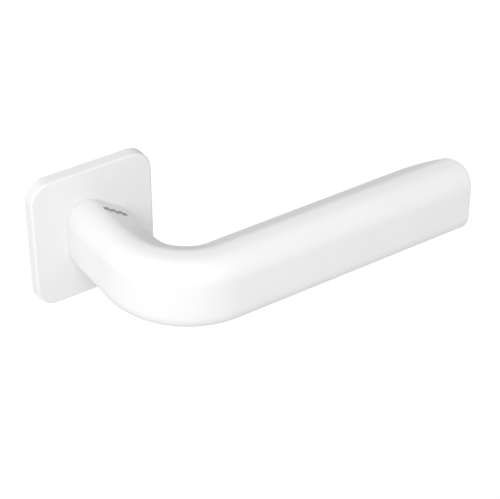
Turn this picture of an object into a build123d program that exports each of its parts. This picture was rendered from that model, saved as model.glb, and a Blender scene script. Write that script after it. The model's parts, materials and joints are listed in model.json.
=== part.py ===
from build123d import *
from math import degrees, pi
import os

# Tilt turn window handle. Millimetres. The origin is on the spindle's axis, in the plane of the sash.
# +X runs along the grip, which lies level here, +Y goes into the sash, the user is on the -Y side,
# and +Z is up.

# Rosette: the visible cap and the room inside it
ROSE_WIDTH = 52.0
ROSE_HEIGHT = 56.0
ROSE_DEPTH = 5.0
ROSE_CORNER = 8.5
ROSE_EDGE_ROUND = 0.9
COVER_SIDE_WALL = 1.2
COVER_FRONT_WALL = 1.0
COVER_OFF_SASH = 0.05
COVER_HOLE_R = 8.65

# Lever: a flat outer face, large roundings, and slopes from the shoulders to an inner face. The section
# swells round the bend. Shoulders are measured from the outer face, heights between sharp corners.
OUTER_FACE_X = -11.5
SECTION_DEPTH = 24.0
LEVER_HEIGHT = 30.0
OUTER_CORNER = 8.4
SHOULDER_ROUND = 8.0
INNER_CORNER = 0.8
NECK_SHOULDER = 11.1
NECK_INNER_HEIGHT = 11.8
GRIP_SHOULDER = 13.0
GRIP_INNER_HEIGHT = 17.2
SWELL_START_Y = -24.0
SWELL_LENGTH = 22.5
BEND_STEPS = 15
BEND_RADIUS = 37.0
PROJECTION = 70.0
GRIP_END_X = 132.5
GRIP_END_CORNER = 19.0
NECK_GAP = 0.1

# Lever's round journal and square socket, and the grub screw that clamps the spindle in it
JOURNAL_R = 7.5
JOURNAL_END = -3.3
SOCKET_SIDE = 7.06
SOCKET_DEPTH = 28.0
GRUB_R = 3.0
GRUB_Y = -15.0
GRUB_LENGTH = 8.0
GRUB_CHAMFER = 0.5
GRUB_CUP_R = 1.6
GRUB_CUP_DEPTH = 0.8
GRUB_SOCKET = 3.0
GRUB_SOCKET_DEPTH = 3.5

# Spindle
SPINDLE_SIDE = 7.0
SPINDLE_CHAMFER = 0.5
SPINDLE_REACH = 30.0
SPINDLE_BURIED = 27.5

# Base plate
PLATE_GAP = 0.15
PLATE_FRONT = -3.95
POCKET_R = 9.75
POCKET_FLOOR = -1.1
HUB_BORE_R = 6.38
SCREW_SPACING = 43.0
BOSS_R = 5.0
BOSS_LENGTH = 2.5
BOSS_CHAMFER = 0.8
SCREW_HOLE_R = 2.65
HEAD_SEAT_R = 4.72
HEAD_SEAT_RIM = 0.57
LIGHTENING_R = 3.2
LIGHTENING_X = 15.5
LIGHTENING_Z = 19.0
LIGHTENING_FLOOR = -1.5

# Index hub and detents
HUB_R = 9.5
HUB_FRONT = -3.22
HUB_BACK = -1.35
HUB_JOURNAL_R = 6.3
HUB_JOURNAL_END = -0.3
HUB_SQUARE = 7.04
BALL_PLAY = 0.03
NOTCH_R = 1.1
NOTCH_CENTRE = 10.03
BALL_R = 1.0
BALL_Y = -2.2
BALL_BORE_R = 1.06
PLUG_R = 1.38
PLUG_BORE_R = 1.4
PLUG_START = 16.5
PLUG_END = 24.4
PLUG_SLOT = 0.4
PLUG_SLOT_DEPTH = 0.5
SPRING_R = 0.75
SPRING_WIRE_R = 0.15
SPRING_TURNS = 7

# Retaining ring, disc spring, retainer plate, bush
RING_GROOVE_R = 4.1
RING_R = 5.4
RING_FRONT = -0.94
RING_BACK = -0.54
RING_GAP = 4.0
SMALL_PLAY = 0.05
MATED_PLAY = 0.02
DISC_INNER_R = 7.9
DISC_OUTER_R = 9.0
DISC_THICKNESS = 0.15
RETAINER_R = 13.5
RETAINER_HOLE_R = 8.6
RETAINER_FRONT = -3.92
RETAINER_BACK = -3.32
RETAINER_SCREW_CIRCLE = 11.7
RETAINER_SCREW_R = 0.95
RETAINER_HEAD_R = 1.6
RETAINER_SCREW_END = -1.2
RETAINER_SLOT = 0.35
RETAINER_SLOT_DEPTH = 0.3
BUSH_INNER_R = 7.57
BUSH_OUTER_R = 8.55
BUSH_BACK = -3.36
BUSH_FLANGE_R = 9.9

# Cover clips: hairpins of spring strip in pockets of the plate, crowns in grooves of the cover
CLIP_WIDTH = 6.0
CLIP_Z = 9.0
CLIP_STRIP = 0.3
CLIP_BEND_R = 0.3
CLIP_FRONT = -3.5
CLIP_BACK = -0.8
CLIP_CROWN_Y = -2.2
CLIP_POCKET_DEPTH = 2.0
CLIP_POCKET_FLOOR = -0.5
CLIP_GROOVE_DEPTH = 0.35
CLIP_GROOVE_WIDTH = 1.5

plate_width = ROSE_WIDTH - 2 * (COVER_SIDE_WALL + PLATE_GAP)
plate_height = ROSE_HEIGHT - 2 * (COVER_SIDE_WALL + PLATE_GAP)
cover_front = -ROSE_DEPTH
cover_inner_x = ROSE_WIDTH / 2 - COVER_SIDE_WALL
cavity_front = cover_front + COVER_FRONT_WALL
neck_foot = cover_front - NECK_GAP
inner_face_x = OUTER_FACE_X + SECTION_DEPTH
inner_radius = BEND_RADIUS - SECTION_DEPTH
bend_x = OUTER_FACE_X + BEND_RADIUS
bend_y = BEND_RADIUS - PROJECTION
bend_axis = Axis((bend_x, bend_y, 0), (0, 0, 1))
ball_x = HUB_R + BALL_R + BALL_PLAY
screw_z = SCREW_SPACING / 2


def between(sketch, y_front, y_back):
    """A prism on an X-Z sketch, from y_back forwards to y_front."""
    return extrude(Plane.XZ.offset(-y_back) * sketch, amount=y_back - y_front)


def turned(points):
    """A solid of revolution about the spindle's axis, from (radius, y) points."""
    return revolve(make_face(Polyline(*points, close=True)), Axis.Y)


def ring(outer_r, inner_r, y_front, y_back):
    """A flat ring about the spindle's axis."""
    return between(Circle(outer_r) - Circle(inner_r), y_front, y_back)


def along_x(radius, start, end, y, side):
    """A round bar along X at the height of the axis, on the right (side 1) or left (side -1)."""
    bar = Cylinder(radius, end - start, rotation=(0, 90, 0))
    return Pos(side * (start + end) / 2, y, 0) * bar


def lever_outline(shoulder, inner_height):
    """The lever's section where it stands on the rosette, with its inner corners still sharp."""
    shoulder_x = OUTER_FACE_X + shoulder
    top = LEVER_HEIGHT / 2
    half = [(OUTER_FACE_X, top), (shoulder_x, top), (inner_face_x, inner_height / 2)]
    mirrored = [(x, -z) for x, z in reversed(half)]
    section = make_face(Polyline(*half, *mirrored, close=True))
    by_x = section.vertices().sort_by(Axis.X)
    section = fillet(by_x[:2], OUTER_CORNER)
    shoulders = section.vertices().filter_by(lambda v: abs(v.X - shoulder_x) < SMALL_PLAY)
    return fillet(shoulders, SHOULDER_ROUND)


def lever_section(shoulder, inner_height):
    section = lever_outline(shoulder, inner_height)
    inner = section.vertices().sort_by(Axis.X)[-2:]
    return fillet(inner, INNER_CORNER)


def lever_bend():
    """From the neck round to the grip. On the way the section grows to the grip's."""
    straight = SWELL_START_Y - bend_y
    length = straight + inner_radius * pi / 2
    sections = []
    for step in range(BEND_STEPS + 1):
        gone = length * step / BEND_STEPS
        share = min(gone / SWELL_LENGTH, 1)
        growth = share * share * (3 - 2 * share)
        shoulder = NECK_SHOULDER + growth * (GRIP_SHOULDER - NECK_SHOULDER)
        height = NECK_INNER_HEIGHT + growth * (GRIP_INNER_HEIGHT - NECK_INNER_HEIGHT)
        angle = degrees(max(gone - straight, 0) / inner_radius)
        place = Plane.XZ.offset(min(gone, straight) - SWELL_START_Y) * lever_section(shoulder, height)
        sections.append(place.rotate(bend_axis, angle))
    return loft(sections)


def lever_grip():
    """The straight grip. Seen from above, its end has a round corner on the sash's side."""
    start = Plane.XZ.offset(-bend_y) * lever_outline(GRIP_SHOULDER, GRIP_INNER_HEIGHT)
    grip = extrude(start.rotate(bend_axis, 90), amount=GRIP_END_X - bend_x, dir=(1, 0, 0))
    corner = Rectangle(GRIP_END_CORNER, GRIP_END_CORNER, align=(Align.MAX, Align.MAX))
    corner -= Pos(-GRIP_END_CORNER, -GRIP_END_CORNER) * Circle(GRIP_END_CORNER)
    cut = extrude(corner, amount=LEVER_HEIGHT / 2, both=True)
    grip -= Pos(GRIP_END_X, SECTION_DEPTH - PROJECTION) * cut
    inner = grip.edges().filter_by(Axis.X).sort_by(Axis.Y)[-2:]
    corner_face = grip.faces().filter_by(GeomType.CYLINDER).sort_by(Axis.X)[-1]
    corner_rim = corner_face.edges().filter_by(Axis.Z, reverse=True)
    end_rim = grip.faces().sort_by(Axis.X)[-1].edges().sort_by(Axis.Y)[:-1]
    return fillet(inner + corner_rim + end_rim, INNER_CORNER)


def lever_handle():
    """Neck, bend and grip on a round journal, with the spindle's socket and the grub screw's hole."""
    lever = between(lever_section(NECK_SHOULDER, NECK_INNER_HEIGHT), SWELL_START_Y, neck_foot)
    lever += lever_bend()
    lever += lever_grip()
    lever += between(Circle(JOURNAL_R), neck_foot, JOURNAL_END)
    lever -= between(Rectangle(SOCKET_SIDE, SOCKET_SIDE), -SOCKET_DEPTH, 0)
    grub_hole = Cylinder(GRUB_R, LEVER_HEIGHT / 2, align=(Align.CENTER, Align.CENTER, Align.MAX))
    return lever - Pos(0, GRUB_Y, 0) * grub_hole


def grub_screw():
    """Socket set screw with a cup point, upright below the spindle."""
    top = -SPINDLE_SIDE / 2 - SMALL_PLAY
    hanging = (Align.CENTER, Align.CENTER, Align.MAX)
    body = Cylinder(GRUB_R - SMALL_PLAY, GRUB_LENGTH, align=hanging)
    body = chamfer(body.edges().filter_by(GeomType.CIRCLE), GRUB_CHAMFER)
    body -= Cone(0, GRUB_CUP_R, GRUB_CUP_DEPTH, align=hanging)
    hexagon = RegularPolygon(GRUB_SOCKET / 2, 6, major_radius=False)
    body -= Pos(0, 0, -GRUB_LENGTH) * extrude(hexagon, GRUB_SOCKET_DEPTH)
    return Pos(0, GRUB_Y, top) * body


def spindle():
    """Square bar with a groove across its corners for the retaining ring."""
    bar = between(Rectangle(SPINDLE_SIDE, SPINDLE_SIDE), -SPINDLE_BURIED, SPINDLE_REACH)
    bar = chamfer(bar.edges().filter_by(Axis.Y), SPINDLE_CHAMFER)
    bar = chamfer(bar.faces().sort_by(Axis.Y)[-1].edges(), SPINDLE_CHAMFER)
    return bar - ring(SPINDLE_SIDE, RING_GROOVE_R, RING_FRONT - SMALL_PLAY, RING_BACK + SMALL_PLAY)


def rosette_cover():
    outline = RectangleRounded(ROSE_WIDTH, ROSE_HEIGHT, ROSE_CORNER)
    inside = RectangleRounded(
        ROSE_WIDTH - 2 * COVER_SIDE_WALL,
        ROSE_HEIGHT - 2 * COVER_SIDE_WALL,
        ROSE_CORNER - COVER_SIDE_WALL,
    )
    cover = between(outline, cover_front, -COVER_OFF_SASH)
    cover = fillet(cover.faces().sort_by(Axis.Y)[0].edges(), ROSE_EDGE_ROUND)
    cover -= between(inside, cavity_front, 0)
    cover -= between(Circle(COVER_HOLE_R), cover_front - 1, 0)
    groove = Box(2 * CLIP_GROOVE_DEPTH, CLIP_GROOVE_WIDTH, CLIP_WIDTH + 1)
    for side in (-1, 1):
        for end in (-1, 1):
            cover -= Pos(side * cover_inner_x, CLIP_CROWN_Y, end * CLIP_Z) * groove
    return cover


def base_plate():
    outline = RectangleRounded(plate_width, plate_height, ROSE_CORNER - COVER_SIDE_WALL - PLATE_GAP)
    plate = between(outline, PLATE_FRONT, 0)
    plate -= between(Circle(POCKET_R), PLATE_FRONT, POCKET_FLOOR)
    plate -= between(Circle(RETAINER_R + 0.1), PLATE_FRONT, RETAINER_BACK)
    plate -= between(Circle(HUB_BORE_R), POCKET_FLOOR, 0)
    seat_rim = PLATE_FRONT + HEAD_SEAT_RIM
    seat_bottom = seat_rim + HEAD_SEAT_R - SCREW_HOLE_R
    seat = turned(
        [
            (0, PLATE_FRONT),
            (HEAD_SEAT_R, PLATE_FRONT),
            (HEAD_SEAT_R, seat_rim),
            (SCREW_HOLE_R, seat_bottom),
            (SCREW_HOLE_R, BOSS_LENGTH),
            (0, BOSS_LENGTH),
        ]
    )
    boss = between(Circle(BOSS_R), 0, BOSS_LENGTH)
    boss = chamfer(boss.faces().sort_by(Axis.Y)[-1].edges(), BOSS_CHAMFER)
    for end in (-1, 1):
        plate += Pos(0, 0, end * screw_z) * boss
        plate -= Pos(0, 0, end * screw_z) * seat
    clip_pocket = between(
        Rectangle(2 * CLIP_POCKET_DEPTH, CLIP_WIDTH + 2 * SMALL_PLAY), PLATE_FRONT, CLIP_POCKET_FLOOR
    )
    hollow = between(Circle(LIGHTENING_R), PLATE_FRONT, LIGHTENING_FLOOR)
    for side in (-1, 1):
        plate -= along_x(BALL_BORE_R, HUB_R - 1, PLUG_START, BALL_Y, side)
        plate -= along_x(PLUG_BORE_R, PLUG_START - SMALL_PLAY, ROSE_WIDTH / 2, BALL_Y, side)
        for end in (-1, 1):
            plate -= Pos(side * plate_width / 2, 0, end * CLIP_Z) * clip_pocket
            plate -= Pos(side * LIGHTENING_X, 0, end * LIGHTENING_Z) * hollow
    tapped_hole = between(
        Circle(RETAINER_SCREW_R + MATED_PLAY), RETAINER_BACK, RETAINER_SCREW_END + SMALL_PLAY
    )
    for place in retainer_screw_places():
        plate -= place * tapped_hole
    return plate


def index_hub():
    """Notched disc with a journal behind it, hollowed at the back for the retaining ring."""
    disc = Circle(HUB_R)
    for notch in PolarLocations(NOTCH_CENTRE, 4):
        disc -= notch * Circle(NOTCH_R)
    hub = between(disc, HUB_FRONT, HUB_BACK)
    hub += between(Circle(HUB_JOURNAL_R), HUB_BACK, HUB_JOURNAL_END)
    hub -= between(Rectangle(HUB_SQUARE, HUB_SQUARE), HUB_FRONT, HUB_JOURNAL_END)
    return hub - between(Circle(RING_R + SMALL_PLAY), RING_FRONT - SMALL_PLAY, HUB_JOURNAL_END)


def retaining_ring():
    """Open ring in the spindle's groove."""
    outline = Circle(RING_R) - Circle(RING_GROOVE_R + MATED_PLAY)
    outline -= Pos(RING_R, 0) * Rectangle(2 * RING_R, RING_GAP)
    return between(outline, RING_FRONT, RING_BACK)


def disc_spring():
    """Shallow conical washer between the hub and the floor of its pocket."""
    floor = POCKET_FLOOR - MATED_PLAY
    top = HUB_BACK + MATED_PLAY
    return turned(
        [
            (DISC_INNER_R, top),
            (DISC_OUTER_R, floor - DISC_THICKNESS),
            (DISC_OUTER_R, floor),
            (DISC_INNER_R, top + DISC_THICKNESS),
        ]
    )


def neck_bush():
    """Plastic bush for the journal, with a flange under the lever's neck."""
    front = neck_foot + SMALL_PLAY
    flange_back = cover_front - MATED_PLAY
    return turned(
        [
            (BUSH_INNER_R, front),
            (BUSH_FLANGE_R, front),
            (BUSH_FLANGE_R, flange_back),
            (BUSH_OUTER_R, flange_back),
            (BUSH_OUTER_R, BUSH_BACK),
            (BUSH_INNER_R, BUSH_BACK),
        ]
    )


def retainer_screw_places():
    """Places on the X-Z plane, between the axes."""
    step = RETAINER_SCREW_CIRCLE / 2**0.5
    return [Pos(x * step, 0, z * step) for x in (-1, 1) for z in (-1, 1)]


def retainer_plate():
    plate = ring(RETAINER_R, RETAINER_HOLE_R, RETAINER_FRONT, RETAINER_BACK)
    sink = turned(
        [
            (0, RETAINER_FRONT),
            (RETAINER_HEAD_R + MATED_PLAY, RETAINER_FRONT),
            (RETAINER_SCREW_R + MATED_PLAY, RETAINER_BACK),
            (0, RETAINER_BACK),
        ]
    )
    for place in retainer_screw_places():
        plate -= place * sink
    return plate


def retainer_screws():
    """Four small countersunk screws, each with a slot."""
    screw = turned(
        [
            (0, RETAINER_FRONT),
            (RETAINER_HEAD_R, RETAINER_FRONT),
            (RETAINER_SCREW_R, RETAINER_BACK),
            (RETAINER_SCREW_R, RETAINER_SCREW_END),
            (0, RETAINER_SCREW_END),
        ]
    )
    slot = Box(2 * RETAINER_HEAD_R, 2 * RETAINER_SLOT_DEPTH, RETAINER_SLOT)
    screw -= Pos(0, RETAINER_FRONT, 0) * slot
    return Compound([(place * screw).solid() for place in retainer_screw_places()])


def detent_ball(side):
    return Pos(side * ball_x, BALL_Y, 0) * Sphere(BALL_R)


def detent_spring(side):
    """Coil spring from the ball's back to the plug."""
    start = ball_x + BALL_R + SPRING_WIRE_R
    height = PLUG_START - SPRING_WIRE_R - MATED_PLAY - start
    helix = Helix(height / SPRING_TURNS, height, SPRING_R)
    wire = Plane(origin=helix @ 0, z_dir=helix % 0) * Circle(SPRING_WIRE_R)
    coil = sweep(wire, path=helix, is_frenet=True)
    return Pos(side * start, BALL_Y, 0) * Rot(0, side * 90, 0) * coil


def detent_plug(side):
    plug = along_x(PLUG_R, PLUG_START, PLUG_END, BALL_Y, side)
    slot = Box(2 * PLUG_SLOT_DEPTH, PLUG_SLOT, 2 * PLUG_R)
    return plug - Pos(side * PLUG_END, BALL_Y, 0) * slot


def cover_clip(side, end):
    """Hairpin whose root lies on the pocket's wall and whose crown presses into the cover's groove."""
    root_x = plate_width / 2 - CLIP_POCKET_DEPTH + CLIP_STRIP / 2 + SMALL_PLAY
    crown_x = cover_inner_x + CLIP_GROOVE_DEPTH - CLIP_STRIP / 2 - SMALL_PLAY
    knee_x = (root_x + crown_x) / 2
    line = FilletPolyline(
        (root_x, CLIP_BACK),
        (root_x, CLIP_FRONT),
        (knee_x, CLIP_FRONT),
        (crown_x, CLIP_CROWN_Y),
        (knee_x, CLIP_BACK),
        radius=CLIP_BEND_R,
    )
    clip = extrude(trace(line, CLIP_STRIP), CLIP_WIDTH / 2, both=True)
    clip = Pos(0, 0, end * CLIP_Z) * clip
    return clip if side > 0 else mirror(clip, Plane.YZ)


def build_parts():
    parts = {
        "lever_handle": lever_handle(),
        "grub_screw": grub_screw(),
        "spindle": spindle(),
        "rosette_cover": rosette_cover(),
        "base_plate": base_plate(),
        "index_hub": index_hub(),
        "retaining_ring": retaining_ring(),
        "disc_spring": disc_spring(),
        "neck_bush": neck_bush(),
        "retainer_plate": retainer_plate(),
        "retainer_screws": retainer_screws(),
    }
    for side, side_name in ((-1, "left"), (1, "right")):
        parts[f"detent_ball_{side_name}"] = detent_ball(side)
        parts[f"detent_spring_{side_name}"] = detent_spring(side)
        parts[f"detent_plug_{side_name}"] = detent_plug(side)
        for end, end_name in ((-1, "lower"), (1, "upper")):
            parts[f"cover_clip_{side_name}_{end_name}"] = cover_clip(side, end)
    return parts


os.makedirs("parts", exist_ok=True)
for name, shape in build_parts().items():
    export_step(shape, f"parts/{name}.step")
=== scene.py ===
"""Looks of the tilt turn handle: coatings and metals, the mark on the neck, light and camera."""

import json
import math

import bmesh
import bpy
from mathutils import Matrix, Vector


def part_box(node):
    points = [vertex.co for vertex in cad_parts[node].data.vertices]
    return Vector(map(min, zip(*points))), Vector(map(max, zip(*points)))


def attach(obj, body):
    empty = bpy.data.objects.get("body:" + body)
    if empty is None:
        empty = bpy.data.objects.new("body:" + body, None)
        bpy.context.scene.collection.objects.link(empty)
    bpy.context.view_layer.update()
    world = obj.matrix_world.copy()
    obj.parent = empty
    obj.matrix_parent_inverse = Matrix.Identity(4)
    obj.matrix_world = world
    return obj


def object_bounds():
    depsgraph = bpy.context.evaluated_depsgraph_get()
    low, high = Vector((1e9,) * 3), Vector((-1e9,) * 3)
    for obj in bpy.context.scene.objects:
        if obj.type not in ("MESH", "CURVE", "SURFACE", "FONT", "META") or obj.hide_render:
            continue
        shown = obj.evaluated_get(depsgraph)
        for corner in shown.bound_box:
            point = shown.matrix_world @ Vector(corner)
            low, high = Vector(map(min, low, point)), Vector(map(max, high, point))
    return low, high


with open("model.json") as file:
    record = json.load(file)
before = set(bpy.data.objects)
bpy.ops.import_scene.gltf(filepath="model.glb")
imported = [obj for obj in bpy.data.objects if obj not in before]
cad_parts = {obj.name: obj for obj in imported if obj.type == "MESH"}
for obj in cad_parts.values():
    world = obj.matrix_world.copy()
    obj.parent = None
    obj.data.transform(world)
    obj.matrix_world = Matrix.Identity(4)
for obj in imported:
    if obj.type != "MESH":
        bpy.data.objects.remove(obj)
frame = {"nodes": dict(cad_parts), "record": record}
cad_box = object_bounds()

# The camera looks down on the handle from the user's left. Metres and degrees.
CAMERA_TARGET = Vector((0.0517, -0.0352, -0.0117))
CAMERA_AZIMUTH = -33.103
CAMERA_ELEVATION = 36.327
CAMERA_DISTANCE = 0.700
FOCAL_LENGTH = 129.05
SENSOR_WIDTH = 36.0

CLIP_START = 0.01
CLIP_END = 20.0

# A noise value mostly lies between these two, so tones and roughness run from one to the other.
NOISE_LOW = 0.3
NOISE_HIGH = 0.7
NOISE_ROUGHNESS = 0.55

# The mark: a row of upright strokes, short and long in turn, across the slope of the neck.
MARK_START_X = 0.0005
MARK_END_X = 0.0105
MARK_Y = -0.0125
MARK_STROKES = 7
SHORT_STROKE = 0.0024
LONG_STROKE = 0.0038
STROKE_WIDTH = 0.0010
STROKE_HALF_THICKNESS = 0.00003
STROKE_END_STEPS = 8
RAY_START_HEIGHT = 0.01

# The studio. The floor lies low enough for views from below.
FLOOR_DROP = 1.20
COVE_RADIUS = 6.0
COVE_SUBDIVISIONS = 5
COVE_BRIGHTNESS = 1.02
SOFTBOX_SIDE = 0.45
SOFTBOX_DISTANCE = 0.70
GLOW_SHARPNESS = 3


def direction(azimuth, elevation):
    """From the object towards a viewer or a light. Azimuth 0 is the user's side, 90 is +X."""
    a = math.radians(azimuth)
    e = math.radians(elevation)
    return Vector((math.sin(a) * math.cos(e), -math.cos(a) * math.cos(e), math.sin(e)))


# ---------------------------------------------------------------- materials


def new_material(name):
    material = bpy.data.materials.new(name)
    material.use_nodes = True
    tree = material.node_tree
    tree.nodes.clear()
    output = tree.nodes.new("ShaderNodeOutputMaterial")
    shader = tree.nodes.new("ShaderNodeBsdfPrincipled")
    tree.links.new(shader.outputs["BSDF"], output.inputs["Surface"])
    return material, tree, shader


def noise(tree, size, stretch=(1, 1, 1), detail=3.0, seed=0.0):
    """A noise with features of that size in metres, stretched along the object's axes."""
    place = tree.nodes.new("ShaderNodeTexCoord")
    mapping = tree.nodes.new("ShaderNodeMapping")
    mapping.inputs["Location"].default_value = (seed, seed, seed)
    mapping.inputs["Scale"].default_value = [1 / (size * s) for s in stretch]
    texture = tree.nodes.new("ShaderNodeTexNoise")
    texture.inputs["Scale"].default_value = 1.0
    texture.inputs["Detail"].default_value = detail
    texture.inputs["Roughness"].default_value = NOISE_ROUGHNESS
    tree.links.new(place.outputs["Object"], mapping.inputs["Vector"])
    tree.links.new(mapping.outputs["Vector"], texture.inputs["Vector"])
    return texture.outputs["Fac"]


def vary_colour(tree, shader, factor, first, second):
    ramp = tree.nodes.new("ShaderNodeValToRGB")
    ramp.color_ramp.elements[0].position = NOISE_LOW
    ramp.color_ramp.elements[0].color = (*first, 1)
    ramp.color_ramp.elements[1].position = NOISE_HIGH
    ramp.color_ramp.elements[1].color = (*second, 1)
    tree.links.new(factor, ramp.inputs["Fac"])
    tree.links.new(ramp.outputs["Color"], shader.inputs["Base Color"])


def vary_roughness(tree, shader, factor, low, high):
    remap = tree.nodes.new("ShaderNodeMapRange")
    remap.inputs["From Min"].default_value = NOISE_LOW
    remap.inputs["From Max"].default_value = NOISE_HIGH
    remap.inputs["To Min"].default_value = low
    remap.inputs["To Max"].default_value = high
    tree.links.new(factor, remap.inputs["Value"])
    tree.links.new(remap.outputs["Result"], shader.inputs["Roughness"])


def add_bumps(tree, shader, layers):
    """Each layer is (height source, height in metres, strength), the coarsest first."""
    normal = None
    for source, height, strength in layers:
        bump = tree.nodes.new("ShaderNodeBump")
        bump.inputs["Distance"].default_value = height
        bump.inputs["Strength"].default_value = strength
        tree.links.new(source, bump.inputs["Height"])
        if normal is not None:
            tree.links.new(normal, bump.inputs["Normal"])
        normal = bump.outputs["Normal"]
    tree.links.new(normal, shader.inputs["Normal"])


def white_coat():
    """Smooth white powder coat with a faint orange peel and a satin gloss."""
    material, tree, shader = new_material("white_powder_coat")
    tone = noise(tree, 0.018, detail=2.0)
    vary_colour(tree, shader, tone, (0.834, 0.834, 0.834), (0.846, 0.846, 0.846))
    vary_roughness(tree, shader, noise(tree, 0.004, seed=3.0), 0.46, 0.52)
    shader.inputs["IOR"].default_value = 1.5
    peel = noise(tree, 0.0013, detail=1.0, seed=7.0)
    grain = noise(tree, 0.00035, detail=1.0, seed=11.0)
    add_bumps(tree, shader, [(peel, 0.000012, 1.0), (grain, 0.000002, 1.0)])
    return material


def cast_alloy():
    """Pressure-cast light alloy: tumbled grain over slow swells, and flow shading."""
    material, tree, shader = new_material("cast_alloy")
    flow = noise(tree, 0.009, stretch=(1, 1, 2.2), detail=4.0)
    vary_colour(tree, shader, flow, (0.56, 0.57, 0.58), (0.68, 0.69, 0.70))
    shader.inputs["Metallic"].default_value = 1.0
    vary_roughness(tree, shader, noise(tree, 0.0022, seed=5.0), 0.40, 0.58)
    grain = noise(tree, 0.0006, detail=4.0, seed=2.0)
    swell = noise(tree, 0.005, detail=1.0, seed=8.0)
    add_bumps(tree, shader, [(swell, 0.00004, 0.6), (grain, 0.00003, 0.7)])
    return material


def steel(name, tones, tone_size, roughness, line_stretch, line_height):
    """A steel whose tone varies, with fine tool or draw lines stretched as given."""
    material, tree, shader = new_material(name)
    vary_colour(tree, shader, noise(tree, tone_size, detail=3.0), *tones)
    shader.inputs["Metallic"].default_value = 1.0
    lines = noise(tree, 0.00022, stretch=line_stretch, detail=3.0, seed=4.0)
    vary_roughness(tree, shader, lines, *roughness)
    add_bumps(tree, shader, [(lines, line_height, 0.8)])
    return material


def natural_nylon():
    material, tree, shader = new_material("natural_nylon")
    tone = noise(tree, 0.006, detail=2.0)
    vary_colour(tree, shader, tone, (0.82, 0.80, 0.73), (0.87, 0.85, 0.79))
    vary_roughness(tree, shader, noise(tree, 0.001, seed=2.0), 0.42, 0.52)
    shader.inputs["Subsurface Weight"].default_value = 0.25
    shader.inputs["Subsurface Radius"].default_value = (0.0012, 0.0010, 0.0008)
    add_bumps(tree, shader, [(noise(tree, 0.0005, seed=6.0), 0.000006, 0.8)])
    return material


def printed_ink():
    material, tree, shader = new_material("printed_ink")
    tone = noise(tree, 0.0007, detail=3.0)
    vary_colour(tree, shader, tone, (0.028, 0.028, 0.030), (0.050, 0.050, 0.053))
    vary_roughness(tree, shader, noise(tree, 0.0004, seed=2.0), 0.45, 0.6)
    add_bumps(tree, shader, [(noise(tree, 0.00015, seed=6.0), 0.000003, 0.8)])
    return material


finishes = {
    "white_coat": white_coat(),
    "zinc_casting": cast_alloy(),
    "natural_nylon": natural_nylon(),
    "plated_steel": steel(
        "plated_steel",
        tones=((0.66, 0.68, 0.71), (0.74, 0.75, 0.75)),
        tone_size=0.005,
        roughness=(0.22, 0.36),
        line_stretch=(1, 30, 1),
        line_height=0.000004,
    ),
    "spring_steel": steel(
        "spring_steel",
        tones=((0.36, 0.36, 0.37), (0.48, 0.47, 0.46)),
        tone_size=0.003,
        roughness=(0.25, 0.38),
        line_stretch=(1, 1, 12),
        line_height=0.000003,
    ),
    "black_steel": steel(
        "black_steel",
        tones=((0.045, 0.046, 0.050), (0.085, 0.083, 0.080)),
        tone_size=0.002,
        roughness=(0.30, 0.45),
        line_stretch=(1, 1, 1),
        line_height=0.000004,
    ),
    "bright_steel": steel(
        "bright_steel",
        tones=((0.74, 0.74, 0.75), (0.81, 0.81, 0.81)),
        tone_size=0.004,
        roughness=(0.14, 0.24),
        line_stretch=(20, 1, 1),
        line_height=0.000002,
    ),
}

for subpart in frame["record"]["subparts"]:
    node = frame["nodes"][subpart["node"]]
    for place in node.material_slots:
        place.material = finishes[subpart["material_slot"]]


# ---------------------------------------------------------------- mark


def slope_point(x):
    """The point and the normal of the neck's upper slope at that x, on the mark's centre line."""
    lever = frame["nodes"]["lever_handle"]
    above = Vector((x, MARK_Y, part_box("lever_handle")[1].z + RAY_START_HEIGHT))
    _, place, normal, _ = lever.ray_cast(above, Vector((0, 0, -1)))
    return place, normal


def stroke(mesh, centre, normal, length):
    """A thin pad with rounded ends, lying on the slope along the neck."""
    along = Vector((0, 1, 0))
    across = along.cross(normal)
    radius = STROKE_WIDTH / 2
    straight = length / 2 - radius
    ring = []
    for end in (1, -1):
        for step in range(STROKE_END_STEPS + 1):
            turn = math.pi * (step / STROKE_END_STEPS - 0.5)
            reach = end * (straight + radius * math.cos(turn))
            side = -end * radius * math.sin(turn)
            ring.append(centre + along * reach + across * side)
    base = [mesh.verts.new(p - normal * STROKE_HALF_THICKNESS) for p in ring]
    top = [mesh.verts.new(p + normal * STROKE_HALF_THICKNESS) for p in ring]
    mesh.faces.new(top)
    mesh.faces.new(base[::-1])
    for i in range(len(ring)):
        j = (i + 1) % len(ring)
        mesh.faces.new((base[i], base[j], top[j], top[i]))


def neck_mark():
    mesh = bmesh.new()
    pitch = (MARK_END_X - MARK_START_X) / MARK_STROKES
    lengths = (SHORT_STROKE, LONG_STROKE)
    for i in range(MARK_STROKES):
        place, normal = slope_point(MARK_START_X + pitch * (i + 0.5))
        stroke(mesh, place, normal, lengths[i % len(lengths)])
    bmesh.ops.recalc_face_normals(mesh, faces=mesh.faces)
    data = bpy.data.meshes.new("neck_mark")
    mesh.to_mesh(data)
    mesh.free()
    data.materials.append(printed_ink())
    mark = bpy.data.objects.new("neck_mark", data)
    bpy.context.scene.collection.objects.link(mark)
    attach(mark, "lever")


neck_mark()


# ---------------------------------------------------------------- floor, light, camera


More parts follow.
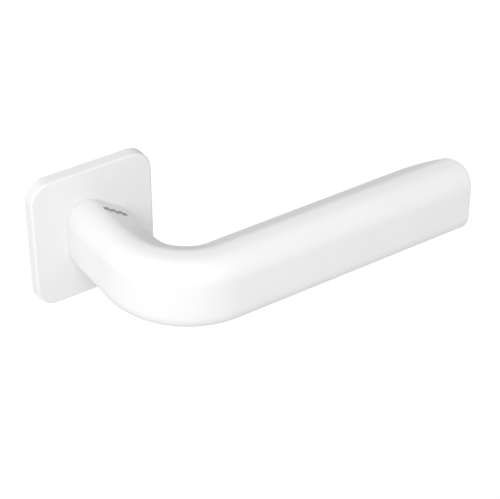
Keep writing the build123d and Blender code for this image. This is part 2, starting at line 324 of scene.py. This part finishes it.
def studio_cove():
    """A flat floor that runs into a white dome. It shows behind the object but doesn't light it."""
    mesh = bmesh.new()
    bmesh.ops.create_icosphere(mesh, subdivisions=COVE_SUBDIVISIONS, radius=COVE_RADIUS)
    floor_z = cad_box[0].z - FLOOR_DROP
    for vertex in mesh.verts:
        vertex.co.z = max(vertex.co.z, floor_z)
    bmesh.ops.reverse_faces(mesh, faces=mesh.faces)
    data = bpy.data.meshes.new("studio_cove")
    mesh.to_mesh(data)
    mesh.free()
    material = bpy.data.materials.new("studio_cove")
    material.use_nodes = True
    tree = material.node_tree
    tree.nodes.clear()
    output = tree.nodes.new("ShaderNodeOutputMaterial")
    white = tree.nodes.new("ShaderNodeEmission")
    white.inputs["Strength"].default_value = COVE_BRIGHTNESS
    tree.links.new(white.outputs["Emission"], output.inputs["Surface"])
    data.materials.append(material)
    cove = bpy.data.objects.new("studio_cove", data)
    cove.visible_diffuse = False
    cove.visible_glossy = False
    cove.visible_transmission = False
    cove.visible_shadow = False
    bpy.context.scene.collection.objects.link(cove)


def softbox(name, azimuth, elevation, power):
    """A square area light aimed at the camera's target, power in watts."""
    light = bpy.data.lights.new(name, "AREA")
    light.shape = "SQUARE"
    light.size = SOFTBOX_SIDE
    light.energy = power
    lamp = bpy.data.objects.new(name, light)
    back = direction(azimuth, elevation)
    lamp.location = CAMERA_TARGET + back * SOFTBOX_DISTANCE
    lamp.rotation_euler = back.to_track_quat("Z", "Y").to_euler()
    bpy.context.scene.collection.objects.link(lamp)


def glow(tree, azimuth, elevation, strength):
    """A broad soft patch of the walls, brightest in that direction, gone at right angles to it."""
    place = tree.nodes.new("ShaderNodeTexCoord")
    facing = tree.nodes.new("ShaderNodeVectorMath")
    facing.operation = "DOT_PRODUCT"
    facing.inputs[1].default_value = direction(azimuth, elevation)
    lit_side = tree.nodes.new("ShaderNodeMath")
    lit_side.operation = "MAXIMUM"
    lit_side.inputs[1].default_value = 0
    falloff = tree.nodes.new("ShaderNodeMath")
    falloff.operation = "POWER"
    falloff.inputs[1].default_value = GLOW_SHARPNESS
    scaled = tree.nodes.new("ShaderNodeMath")
    scaled.operation = "MULTIPLY"
    scaled.inputs[1].default_value = strength
    tree.links.new(place.outputs["Generated"], facing.inputs[0])
    tree.links.new(facing.outputs["Value"], lit_side.inputs[0])
    tree.links.new(lit_side.outputs["Value"], falloff.inputs[0])
    tree.links.new(falloff.outputs["Value"], scaled.inputs[0])
    return scaled.outputs["Value"]


def studio_walls(strength, glows):
    """Even light from all round, with broad glows (azimuth, elevation, strength) on top."""
    world = bpy.data.worlds.new("studio")
    world.use_nodes = True
    tree = world.node_tree
    background = tree.nodes["Background"]
    background.inputs["Color"].default_value = (1, 1, 1, 1)
    total = None
    for patch in glows:
        add = tree.nodes.new("ShaderNodeMath")
        add.operation = "ADD"
        tree.links.new(glow(tree, *patch), add.inputs[0])
        add.inputs[1].default_value = strength
        if total is not None:
            tree.links.new(total, add.inputs[1])
        total = add.outputs["Value"]
    tree.links.new(total, background.inputs["Strength"])
    bpy.context.scene.world = world


def camera():
    lens = bpy.data.cameras.new("camera")
    lens.lens = FOCAL_LENGTH
    lens.sensor_width = SENSOR_WIDTH
    piece = bpy.data.objects.new("camera", lens)
    back = direction(CAMERA_AZIMUTH, CAMERA_ELEVATION)
    piece.location = CAMERA_TARGET + back * CAMERA_DISTANCE
    piece.rotation_mode = "QUATERNION"
    piece.rotation_quaternion = (-back).to_track_quat("-Z", "Y")
    lens.clip_start = CLIP_START
    lens.clip_end = CLIP_END
    bpy.context.scene.collection.objects.link(piece)
    bpy.context.scene.camera = piece


studio_cove()
softbox("key", -35, 35, 2.82)
softbox("front_fill", 20, 10, 0.40)
studio_walls(0.345, [(45, -40, 0.35), (-90, -40, 1.04), (-135, 40, 0.70), (0, 90, 0.32)])
camera()
bpy.context.scene.view_settings.view_transform = "Standard"
